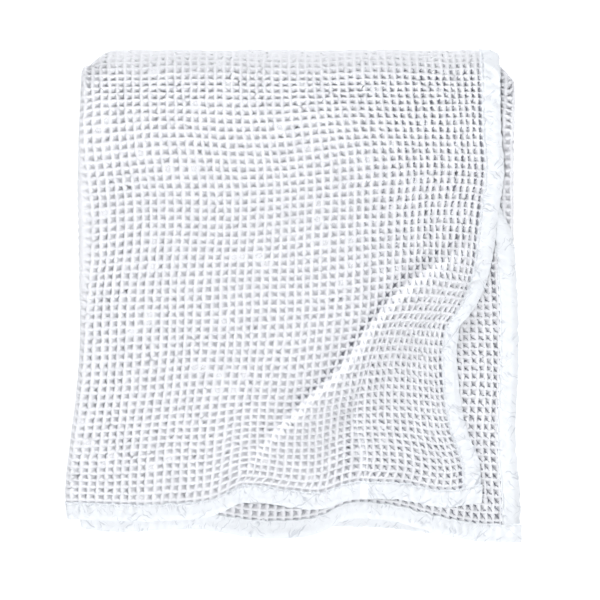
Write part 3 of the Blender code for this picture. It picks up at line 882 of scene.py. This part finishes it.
def binding(name, place_on_cloth, lines, length, count, seed):
    """A strip round one edge, as a grid of lines along it and points round its section, which is a
    closed loop. The strip is open at its two ends."""
    share, side = section(count)
    along, share = np.meshgrid(lines, share, indexing="ij")
    side = np.broadcast_to(side, along.shape)
    points, _, from_inner = strip_surface(place_on_cloth, along, share, side, length, seed)
    rows, columns = along.shape
    index = np.arange(rows * columns).reshape(rows, columns)
    around = np.roll(index, -1, axis=1)
    faces = np.stack([index[:-1], around[:-1], around[1:], index[1:]], -1).reshape(-1, 4)
    uv = np.stack([along, from_inner + (side < 0) * UNDERSIDE_UV], -1).reshape(-1, 2)
    return mesh_piece(name, points.reshape(-1, 3), faces, uv)


# %% Four bindings
def steps(*stretches):
    """Lines along a strip. Each stretch is (first, last, step)."""
    return np.unique(np.concatenate([np.linspace(a, b, max(2, int(round((b - a) / step)) + 1))
                                     for a, b, step in stretches]).round(7))


def hem_lines(*sizes):
    """Lines along a hem, which runs across the whole cloth, with a step for each of its STRETCHES."""
    ends = [STARTS[name] for name in STRETCHES] + [FLAT_WIDTH]
    return steps(*zip(ends, ends[1:], sizes))


# The side strips stop this far short of the hem strips.
SEAM = 0.0003
side_steps = steps((BINDING_WIDTH + SEAM, TURN_END, 0.0015),
                   (TURN_END, FLAT_LENGTH - BINDING_WIDTH - SEAM, 0.008))
hem_steps = hem_lines(0.0015, 0.001, 0.004, 0.0006, 0.0025, 0.0006, 0.0015)
back_steps = hem_lines(0.006, 0.0015, 0.006, 0.0008, 0.006, 0.0008, 0.006)

# Where each strip lies, its lines, its length, points across one face, and its seed.
STRIPS = {
    "edge_a_strip": (lambda along, inward: (inward, along), side_steps, FLAT_LENGTH, 17, 1),
    "edge_b_strip": (lambda along, inward: (FLAT_WIDTH - inward, along), side_steps, FLAT_LENGTH, 17, 2),
    "hem_front_strip": (lambda along, inward: (along, inward), hem_steps, FLAT_WIDTH, 17, 3),
    "hem_back_strip": (lambda along, inward: (along, FLAT_LENGTH - inward), back_steps, FLAT_WIDTH, 9, 4),
}
edge_a, edge_b, hem_front, hem_back = (binding(name, *strip) for name, strip in STRIPS.items())

# %% [markdown]
# ## The stitching
# A machine seam holds each binding near its inner edge. It could be a line in the finish, but the
# threads catch the light one by one, so each stitch is a small closed grain, and one mesh holds the
# threads of all four strips, on both faces of the cloth.

# %% Stitches
STITCH_PITCH = 0.0036
STITCH_LENGTH = 0.0028
STITCH_STRAY = 0.00012
THREAD_RADIUS = 0.00024
THREAD_RINGS = np.array([0.0, 0.16, 0.5, 0.84, 1.0])
THREAD_SIDES = 5
# How high a thread arches over the cloth and how deep its ends dip, in radii.
THREAD_ARCH = 2.4
THREAD_DIP = 0.9


def stitch_faces():
    """Triangles of one stitch: a fan from each end point, and two bands between its three rings."""
    ring = np.arange(THREAD_SIDES)
    after = (ring + 1) % THREAD_SIDES
    faces = [np.stack([0 * ring, 1 + after, 1 + ring], -1)]
    for k in (0, 1):
        low, high = 1 + k * THREAD_SIDES, 1 + (k + 1) * THREAD_SIDES
        faces += [np.stack([low + ring, low + after, high + ring], -1),
                  np.stack([low + after, high + after, high + ring], -1)]
    last = 1 + 2 * THREAD_SIDES
    faces.append(np.stack([last + ring, last + after, 0 * ring + 1 + 3 * THREAD_SIDES], -1))
    return np.concatenate(faces)


def stitches(place_on_cloth, lines, length, count, seed):
    """Points and UV of the threads on both faces of one strip. A thread's radius is r sqrt(4 u (1 - u))
    at the share u of its length, and it arches over the cloth and dips in at both ends."""
    random = np.random.default_rng(seed + 200)
    middles = np.arange(lines[0] + STITCH_PITCH, lines[-1] - STITCH_PITCH, STITCH_PITCH)
    u = THREAD_RINGS[None, :]
    around = np.arange(THREAD_SIDES) * 2 * math.pi / THREAD_SIDES
    points, uv = [], []
    for side in (1, -1):
        along = middles[:, None] + (u - 0.5) * STITCH_LENGTH
        in_by = STITCH_AT + random.normal(0, STITCH_STRAY, middles.shape)[:, None]
        share = 1 - (in_by + 0 * u) / (BINDING_WIDTH - SCALLOP / 2)
        spine, up, _ = strip_surface(place_on_cloth, along, share, np.full_like(along, side), length, seed)
        ahead = np.gradient(spine, axis=1)
        across_it = np.cross(ahead, up)
        across_it /= np.linalg.norm(across_it, axis=-1, keepdims=True)
        bow = 4 * u * (1 - u)
        spine = spine + up * (THREAD_RADIUS * (THREAD_ARCH * bow - THREAD_DIP))[..., None]
        radius = THREAD_RADIUS * np.sqrt(bow)[..., None]
        rings = [spine + radius * (np.cos(a) * up + side * np.sin(a) * across_it) for a in around]
        rings = np.stack(rings, 2)
        rings = rings[:, 1:4].reshape(len(middles), -1, 3)
        points.append(np.concatenate([spine[:, :1], rings, spine[:, 4:]], axis=1).reshape(-1, 3))
        turn = np.concatenate([[0], np.tile(around, 3), [0]]) / (2 * math.pi)
        place = np.concatenate([[0], np.repeat(THREAD_RINGS[1:4], THREAD_SIDES), [1]])
        uv.append(np.stack([np.broadcast_to(place, (len(middles), len(place))) + middles[:, None],
                            np.broadcast_to(turn, (len(middles), len(turn)))], -1).reshape(-1, 2))
    return np.concatenate(points), np.concatenate(uv)


def binding_stitching():
    """The threads of all four strips in one mesh."""
    seams = [stitches(*strip) for strip in STRIPS.values()]
    points, uv = (np.concatenate(parts) for parts in zip(*seams))
    one = stitch_faces()
    per_stitch = one.max() + 1
    starts = np.arange(len(points) // per_stitch)[:, None, None] * per_stitch
    return mesh_piece("binding_stitching", points, (one[None] + starts).reshape(-1, 3), uv)


stitching = binding_stitching()

# %% [markdown]
# ## Finishes
# Both cottons are white, rough and a little fuzzy. A white pit looks grey because its yarns lie deep
# and thin, which is part shade and part colour, so the finish darkens a pit by a mask drawn in cell
# coordinates: partly the yarn's own colour and partly painted shade. The finishes also paint shade in
# the crease valleys, beside the seams, in slits under the ridges near the free edges, in the binding's
# creases and in the threads' twist, and paint light on the folds and beside the creases. A mask takes
# dozens of maths nodes, which are hard to follow one by one, so a small class lets it be written as a
# formula and makes the nodes. The yarn grain is one node group that both cottons use at their own
# scale.

# %% Nodes from formulas
def node(tree, kind, inputs=None, **settings):
    """A node with its settings and, by socket name or number, its input values or links."""
    made = tree.nodes.new("ShaderNode" + kind)
    for key, value in settings.items():
        setattr(made, key, value)
    for key, value in (inputs or {}).items():
        value = value.socket if isinstance(value, Amount) else value
        if isinstance(value, bpy.types.NodeSocket):
            tree.links.new(value, made.inputs[key])
        else:
            made.inputs[key].default_value = value
    return made


class Amount:
    """A number that changes over a surface. Each sum or product of amounts makes one maths node."""

    def __init__(self, socket):
        self.socket = socket

    def maths(self, operation, other=0.0, clamp=False):
        """The result of one maths node on this amount and another."""
        made = node(self.socket.id_data, "Math", {0: self, 1: other}, operation=operation, use_clamp=clamp)
        return Amount(made.outputs[0])

    def __add__(self, other):
        return self.maths("ADD", other)

    def __sub__(self, other):
        return self.maths("SUBTRACT", other)

    def __mul__(self, other):
        return self.maths("MULTIPLY", other)

    def __truediv__(self, other):
        return self.maths("DIVIDE", other)

    def __pow__(self, other):
        return self.maths("POWER", other)

    def __abs__(self):
        return self.maths("ABSOLUTE")

    def clamped(self):
        """Kept between 0 and 1."""
        return self.maths("ADD", 0.0, clamp=True)

    def ramp(self, low, high, start=0.0, end=1.0):
        """Runs smoothly from start, where the amount is low, to end, where it is high."""
        return Amount(node(self.socket.id_data, "MapRange", {
            "Value": self, "From Min": low, "From Max": high, "To Min": start, "To Max": end},
            interpolation_type="SMOOTHSTEP").outputs[0])


def most(first, *others):
    """The largest of some amounts."""
    for other in others:
        first = first.maths("MAXIMUM", other)
    return first


def attribute(tree, name):
    """A value that the mesh holds for each point."""
    return Amount(node(tree, "Attribute", attribute_name=name).outputs["Fac"])


def noise(tree, place, scale, detail, **more):
    """Noise from 0 to 1, with scale as its waves to a unit."""
    made = node(tree, "TexNoise", {"Vector": place, "Scale": scale, "Detail": detail, **more})
    return Amount(made.outputs["Fac"])


def vector(tree, x, y, z=0.0):
    """A place made of three numbers or amounts."""
    return node(tree, "CombineXYZ", {0: x, 1: y, 2: z}).outputs[0]


# %% The yarn grain
def yarn_grain():
    """Two crossed sets of fine wavy lines and a little noise: a height from 0 to 1."""
    group = bpy.data.node_groups.new("yarn grain", "ShaderNodeTree")
    group.interface.new_socket("Vector", in_out="INPUT", socket_type="NodeSocketVector")
    group.interface.new_socket("Yarns", in_out="INPUT", socket_type="NodeSocketFloat").default_value = 1.0
    group.interface.new_socket("Height", in_out="OUTPUT", socket_type="NodeSocketFloat")
    given, out = group.nodes.new("NodeGroupInput"), group.nodes.new("NodeGroupOutput")
    scaled = node(group, "VectorMath", {0: given.outputs["Vector"], 3: given.outputs["Yarns"]},
                  operation="SCALE").outputs[0]
    lines = {"Vector": scaled, "Scale": 0.5, "Distortion": 1.5, "Detail": 2.0, "Detail Scale": 1.5}
    warp, weft = (Amount(node(group, "TexWave", lines, bands_direction=way).outputs["Fac"]) for way in "XY")
    height = (warp + weft) * 0.35 + noise(group, scaled, 2.0, 3.0) * 0.3
    group.links.new(height.socket, out.inputs["Height"])
    return group


GRAIN = yarn_grain()


def grain_height(tree, uv, yarns):
    """The height of the grain, with so many yarns to a unit of the UV map."""
    grain = tree.nodes.new("ShaderNodeGroup")
    grain.node_tree = GRAIN
    tree.links.new(uv, grain.inputs["Vector"])
    grain.inputs["Yarns"].default_value = yarns
    return Amount(grain.outputs["Height"])


# %% What all the cottons share
WASHED = {"Roughness": 0.92, "Specular IOR Level": 0.25, "Sheen Weight": 0.03, "Sheen Roughness": 0.5}


def cotton(name, white, grey, drawing, strength, distance):
    """A washed cotton. drawing turns the tree and the UV into a shade, from white at 0 to grey at 1,
    and a height for a bump of the given strength and distance."""
    material = bpy.data.materials.new(name)
    material.use_nodes = True
    tree = material.node_tree
    shader = tree.nodes["Principled BSDF"]
    for socket, value in WASHED.items():
        shader.inputs[socket].default_value = value
    shade, height = drawing(tree, node(tree, "UVMap", uv_map="UVMap").outputs["UV"])
    colour = node(tree, "Mix", {"Factor": shade, 6: white, 7: grey}, data_type="RGBA").outputs[2]
    tree.links.new(colour, shader.inputs["Base Color"])
    bump = node(tree, "Bump", {"Strength": strength, "Distance": distance, "Height": height})
    tree.links.new(bump.outputs["Normal"], shader.inputs["Normal"])
    return material


# %% The waffle cotton
# Lengths are in cells. The numbers of a ramp are where it begins and ends, and then its two values
# where these aren't 0 and 1.
RIDGE_WHITE = (0.80, 0.811, 0.843, 1.0)
# A pit's grey: partly the thin yarn's own colour and partly painted shade.
PIT_GREY = (0.20, 0.21, 0.25, 1.0)
RAGGED_SCALE = 5.0
RAGGED_BY = 0.6
MIDDLE_CELL = (float(column_of(FREE_EDGE_A - SMOOTHED_FROM[0])),
               float(row_of(SMOOTHED_FROM[1] - FOLD_Y + FRONT_LENGTH["A"])), 0.0)
MIDDLE_CELLS_AROUND = 4.0
STAR_POWER = 1.35
PIT_RAMP = (1.02, 0.24)
PIT_TALLER = 0.86
# A painted shade on the side of a pit towards the middle cell, under the key lamp, where its ridge hangs
# over it.
PIT_SHIFT = 0.35
PIT_ONE_SIDED = 2.0
PIT_SHADE = 0.31
WEFT_SHADE = 0.28
WEFT_RAMP = (0.42, 0.20)
# The thin dark ring round a popped pit is a painted shade round its raised middle.
RING_RADIUS = 0.29
RING_RAMP = (0.10, 0.02)
RING_SHADE = 1.4
# A slit is a painted shadow cast by a ridge into the pit below it, near the free edges, and the pit around
# it is paler.
SLIT_AT = 0.10
SLIT_RAMP = (0.15, 0.03)
SLIT_END_RAMP = (0.85, 0.50)
SLIT_SHADE = 2.4
SLIT_PALE = 0.58
# Painted shade in the crease valleys and beside the seams.
PINCHED_SHADE = 1.1
PATCH_RAMP = (0.3, 0.7, 0.65, 0.85)
STREAK_RAMP = (0.35, 0.65, -0.12, 0.12)
# How fast the painted shade of a pit, of a slit and of a cell in a crease valley or beside a seam fills as
# the cloth sinks from ridge to pit.
PIT_GAIN = 3.0
SLIT_GAIN = 5.0
PINCHED_GAIN = 1.6
WAFFLE_YARNS = 12.0


def place_in_cell(tree, uv):
    """x and y in the cell, from -1/2 to 1/2. Noise moves them, so that all that is drawn is ragged."""
    stray = node(tree, "TexNoise", {"Vector": uv, "Scale": RAGGED_SCALE, "Detail": 3.0},
                 noise_dimensions="2D")
    stray = node(tree, "VectorMath", {0: stray.outputs["Color"], 1: (0.5, 0.5, 0.5)}, operation="SUBTRACT")
    moved = node(tree, "VectorMath", {0: stray.outputs[0], 1: (RAGGED_BY, RAGGED_BY, 0.0), 2: uv},
                 operation="MULTIPLY_ADD")
    parts = node(tree, "SeparateXYZ", {0: moved.outputs[0]})
    return [Amount(parts.outputs[axis]).maths("FRACT") - 0.5 for axis in "XY"]


def towards_shaded_side(tree, uv, x, y):
    """How far a place lies on the side of its cell under the ridge that leans over it, towards the middle
    cell under the key lamp, where the pit takes more painted shade: the dot product of the way to the
    middle cell and the place in the cell, over that way's length and a little more."""
    way = node(tree, "VectorMath", {0: MIDDLE_CELL, 1: uv}, operation="SUBTRACT").outputs[0]
    far = Amount(node(tree, "VectorMath", {0: way}, operation="LENGTH").outputs["Value"])
    along = node(tree, "VectorMath", {0: way, 1: vector(tree, x, y)}, operation="DOT_PRODUCT")
    return Amount(along.outputs["Value"]) / (far + MIDDLE_CELLS_AROUND)


def waffle_drawing(tree, uv):
    """The painted shade of the pits, of the rings round popped pits, of the slits near the free edges and
    of the cells in crease valleys and beside the seams.

    A pit is a star with its four points towards the cell's corners, inside a level of
    (|x + y|^p + |x - y|^p)^(1/p). Its grey is part colour and part painted shade, and it has more
    painted shade on the side under the ridge that leans over it, towards the key lamp. A popped pit is
    white inside a thin ring of painted shade. A slit is a painted shadow of a ridge: a thin dark line
    through the pit, turned by its slant.
    """
    x, y = place_in_cell(tree, uv)
    side = towards_shaded_side(tree, uv, x, y)
    pit, popped_up, dark, slit_shadows, crease_and_seam_shade, slant = (attribute(tree, name) for name in CELL_VALUES)
    low = y * PIT_TALLER
    from_pit = (abs(x + low) ** STAR_POWER + abs(x - low) ** STAR_POWER) ** (1 / STAR_POWER)
    from_pit = from_pit - side * PIT_SHIFT
    weft_only = abs(x).ramp(*WEFT_RAMP, 0.0, WEFT_SHADE)
    # Painted shade in the pit, partly its own colour, strongest on the side towards the key lamp.
    inside = from_pit.ramp(*PIT_RAMP) * (pit * PIT_GAIN + weft_only).clamped() * (side * PIT_ONE_SIDED + 1.0)
    inside = inside * (popped_up * -1.0 + 1.0).clamped()
    # A ring of painted shade round a popped pit.
    from_ring = abs((x * x + y * y).maths("SQRT") - RING_RADIUS)
    ring = from_ring.ramp(*RING_RAMP, 0.0, RING_SHADE) * popped_up
    streaks = noise(tree, uv, 5.0, 2.0)
    patchy = noise(tree, uv, 0.9, 3.0).ramp(*PATCH_RAMP) + streaks.ramp(*STREAK_RAMP)
    shade = (most(inside, ring) * patchy * dark * PIT_SHADE).clamped()
    shade = shade * slit_shadows.ramp(0.2, 1.0, 1.0, SLIT_PALE)
    # A slit of painted shadow, cast by a ridge.
    slit_shadow = abs(x - y * slant - SLIT_AT).ramp(*SLIT_RAMP) * abs(x * slant + y).ramp(*SLIT_END_RAMP)
    slit_shadow = slit_shadow * streaks.ramp(0.38, 0.52, 0.4, 1.0) * slit_shadows * (pit * SLIT_GAIN + 0.15).clamped()
    # Painted shade in the cells of a crease valley and beside a seam.
    shut = crease_and_seam_shade * (pit * PINCHED_GAIN).clamped()
    shade = most(shade, slit_shadow * SLIT_SHADE, shut * PINCHED_SHADE).clamped()
    return shade, from_pit * 0.8 + grain_height(tree, uv, WAFFLE_YARNS)


# %% The binding cotton
BINDING_WHITE = (0.785, 0.812, 0.845, 1.0)
# The grey of the painted shade in the binding's creases, puckers, seam and inner edge.
CREASE_SHADE_GREY = (0.40, 0.43, 0.49, 1.0)
SEAM_HALF = 0.0008
LIP = 0.0012
PUCKERS_END = 0.010
GROUPS_PER_METRE = 55.0
BENDS_PER_METRE = 110.0
BEND = 0.010
BINDING_YARNS = 2200.0
# Columns: slant, strokes per metre along the strip, strokes per metre inwards.
CREASE_STROKES = ((0.9, 330.0, 32.0), (-1.3, 260.0, 28.0), (0.15, 520.0, 50.0))
PUCKER_STROKES = (0.4, 700.0, 90.0)


def strokes(tree, along, from_inner, kind, low, high):
    """The painted shade of thin slanted creases: a noise stretched along lines of one slant, kept where it
    is high, and only in places where a slower noise is high, so that the strokes come in groups."""
    slant, fine, long = kind
    bend = noise(tree, vector(tree, along, from_inner), BENDS_PER_METRE, 1.0)
    slid = (bend * BEND + from_inner * slant + along) * fine
    stroke = noise(tree, vector(tree, slid, from_inner * long, slant), 1.0, 1.0)
    group = noise(tree, vector(tree, along, from_inner, slant), GROUPS_PER_METRE, 1.0)
    return stroke.ramp(low, high) * group.ramp(0.49, 0.61)


def binding_drawing(tree, uv):
    """Painted shade in groups of thin slanted creases and in short puckers that run in from the seam, and
    a painted shade along the broken lines of the seam itself and of the strip's inner edge."""
    place = node(tree, "SeparateXYZ", {0: uv})
    along, from_inner = (Amount(place.outputs[axis]) for axis in "XY")
    crease_shade = most(*(strokes(tree, along, from_inner, kind, 0.58, 0.70) for kind in CREASE_STROKES))
    puckers = strokes(tree, along, from_inner, PUCKER_STROKES, 0.50, 0.62)
    puckers = puckers * from_inner.ramp(STITCH_AT, PUCKERS_END, 1.0, 0.0)
    broken = noise(tree, uv, 260.0, 2.0)
    seam_shade = abs(from_inner - STITCH_AT).ramp(0.0, SEAM_HALF, 1.0, 0.0) * broken.ramp(0.44, 0.60)
    lip_shadow = abs(from_inner).ramp(LIP, 0.0) * broken.ramp(0.38, 0.55)
    shade = most(crease_shade * 0.55, puckers * 0.45, most(seam_shade, lip_shadow) * 0.75)
    crinkles = noise(tree, uv, 170.0, 4.0, Roughness=0.6, Distortion=0.8)
    return shade, grain_height(tree, uv, BINDING_YARNS) * 0.25 + crinkles - shade


# %% The sewing thread
THREAD_WHITE = (0.88, 0.90, 0.92, 1.0)
# The grey of the painted shade in the grooves of the twist.
TWIST_SHADE_GREY = (0.60, 0.62, 0.66, 1.0)
TWISTS = 5.0


def thread_drawing(tree, uv):
    """The twist is a wave that winds round the thread, up and down from 0 to 1, and its grooves take a
    painted shade.
    """
    place = node(tree, "SeparateXYZ", {0: uv})
    along, around = (Amount(place.outputs[axis]) for axis in "XY")
    twist = (along * TWISTS + around).maths("PINGPONG", 0.5) * 2.0
    return twist.ramp(0.25, 0.0), twist


# %% The three finishes
waffle_finish = cotton("waffle cotton", RIDGE_WHITE, PIT_GREY, waffle_drawing, 0.35, 0.0006)
binding_finish = cotton("binding cotton", BINDING_WHITE, CREASE_SHADE_GREY, binding_drawing, 0.32, 0.0007)
thread_finish = cotton("sewing thread", THREAD_WHITE, TWIST_SHADE_GREY, thread_drawing, 0.4, 0.0001)
waffle.data.materials.append(waffle_finish)
for strip in (edge_a, edge_b, hem_front, hem_back):
    strip.data.materials.append(binding_finish)
stitching.data.materials.append(thread_finish)
print("finishes", [finish.name for finish in (waffle_finish, binding_finish, thread_finish)])

# %% Put the pieces in the frame
STANDS_FOR = {waffle: "waffle_cloth", edge_a: "binding_edge_a", edge_b: "binding_edge_b",
              hem_front: "binding_hem_front", hem_back: "binding_hem_back"}
for piece, solid in STANDS_FOR.items():
    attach(piece, "root")
    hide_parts(solid)
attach(stitching, "root")

# %% [markdown]
# ## Floor, light and camera
# A white blanket on white needs very even light, and its pits need a clear one to show. So one small
# lamp hangs low over the middle, made to light the whole table evenly. Three broad ones stand low
# around the table for the folds and hems that slope away, and the world is bright at the horizon and
# dark overhead. The camera looks straight down on the stack from about 1.4 m.

# %% Floor
FLOOR_SIZE = 6.0
FLOOR_GREY = (0.30, 0.30, 0.31, 1.0)
FLOOR_GLOW = 0.94


def floor():
    """A square of pale card that glows a little, so that it is as white as the blanket."""
    half = FLOOR_SIZE / 2
    corners = [(-half, -half, 0), (half, -half, 0), (half, half, 0), (-half, half, 0)]
    mesh = bpy.data.meshes.new("floor")
    mesh.from_pydata(corners, [], [(0, 1, 2, 3)])
    material = bpy.data.materials.new("pale floor")
    material.use_nodes = True
    shader = material.node_tree.nodes["Principled BSDF"]
    shader.inputs["Base Color"].default_value = FLOOR_GREY
    shader.inputs["Roughness"].default_value = 0.9
    shader.inputs["Emission Color"].default_value = (1.0, 1.0, 1.0, 1.0)
    shader.inputs["Emission Strength"].default_value = FLOOR_GLOW
    mesh.materials.append(material)
    made = bpy.data.objects.new("floor", mesh)
    bpy.context.scene.collection.objects.link(made)
    return made


floor()

# %% Light
def even_lamp(name, place, radius, strength):
    """A small round lamp that lights a level table evenly. Its light falls with the square of the
    distance d and with the slant h / d, so a strength that grows as the cube of d undoes both."""
    light = bpy.data.lights.new(name, "POINT")
    light.shadow_soft_size = radius
    light.energy = 1.0
    light.use_nodes = True
    tree = light.node_tree
    square = Amount(node(tree, "LightFalloff", {"Strength": 1.0}).outputs["Constant"])
    cube = square**1.5
    tree.links.new((cube * strength).socket, tree.nodes["Emission"].inputs["Strength"])
    made = bpy.data.objects.new(name, light)
    made.location = place
    made.visible_camera = False
    bpy.context.scene.collection.objects.link(made)


# Columns: name, place, radius, strength.
LAMPS = (("key", (0.06, -0.09, 0.55), 0.045, 41.0), ("back", (0.0, 1.1, 0.4), 0.15, 15.0),
         ("left", (-1.1, 0.0, 0.4), 0.15, 3.5), ("front", (0.0, -1.1, 0.4), 0.15, 13.5))
for lamp in LAMPS:
    even_lamp(*lamp)
print("lamps", [lamp[0] for lamp in LAMPS])

# %% The sky
SKY_COLOUR = (0.98, 0.985, 1.0, 1.0)
# The heights between which the sky falls from bright to dark, and how bright it is at both.
SKY_RAMP = (0.20, 0.70, 2.1, 0.02)

world = bpy.data.worlds.new("studio")
world.use_nodes = True
sky = world.node_tree
place = node(sky, "SeparateXYZ", {0: sky.nodes.new("ShaderNodeTexCoord").outputs["Generated"]})
sky.nodes["Background"].inputs["Color"].default_value = SKY_COLOUR
brightness = Amount(place.outputs["Z"]).ramp(*SKY_RAMP)
sky.links.new(brightness.socket, sky.nodes["Background"].inputs["Strength"])
bpy.context.scene.world = world
bpy.context.scene.view_settings.view_transform = "Standard"

# %% Camera
CAMERA_PLACE = (0.008, -0.0041, 1.40)
VIEW_WIDTH = 0.80
TOP_LEVEL = 0.020

lens = bpy.data.cameras.new("camera")
lens.sensor_width = 36
lens.lens = lens.sensor_width * (CAMERA_PLACE[2] - TOP_LEVEL) / VIEW_WIDTH
camera = bpy.data.objects.new("camera", lens)
camera.location = CAMERA_PLACE
bpy.context.scene.collection.objects.link(camera)
bpy.context.scene.camera = camera
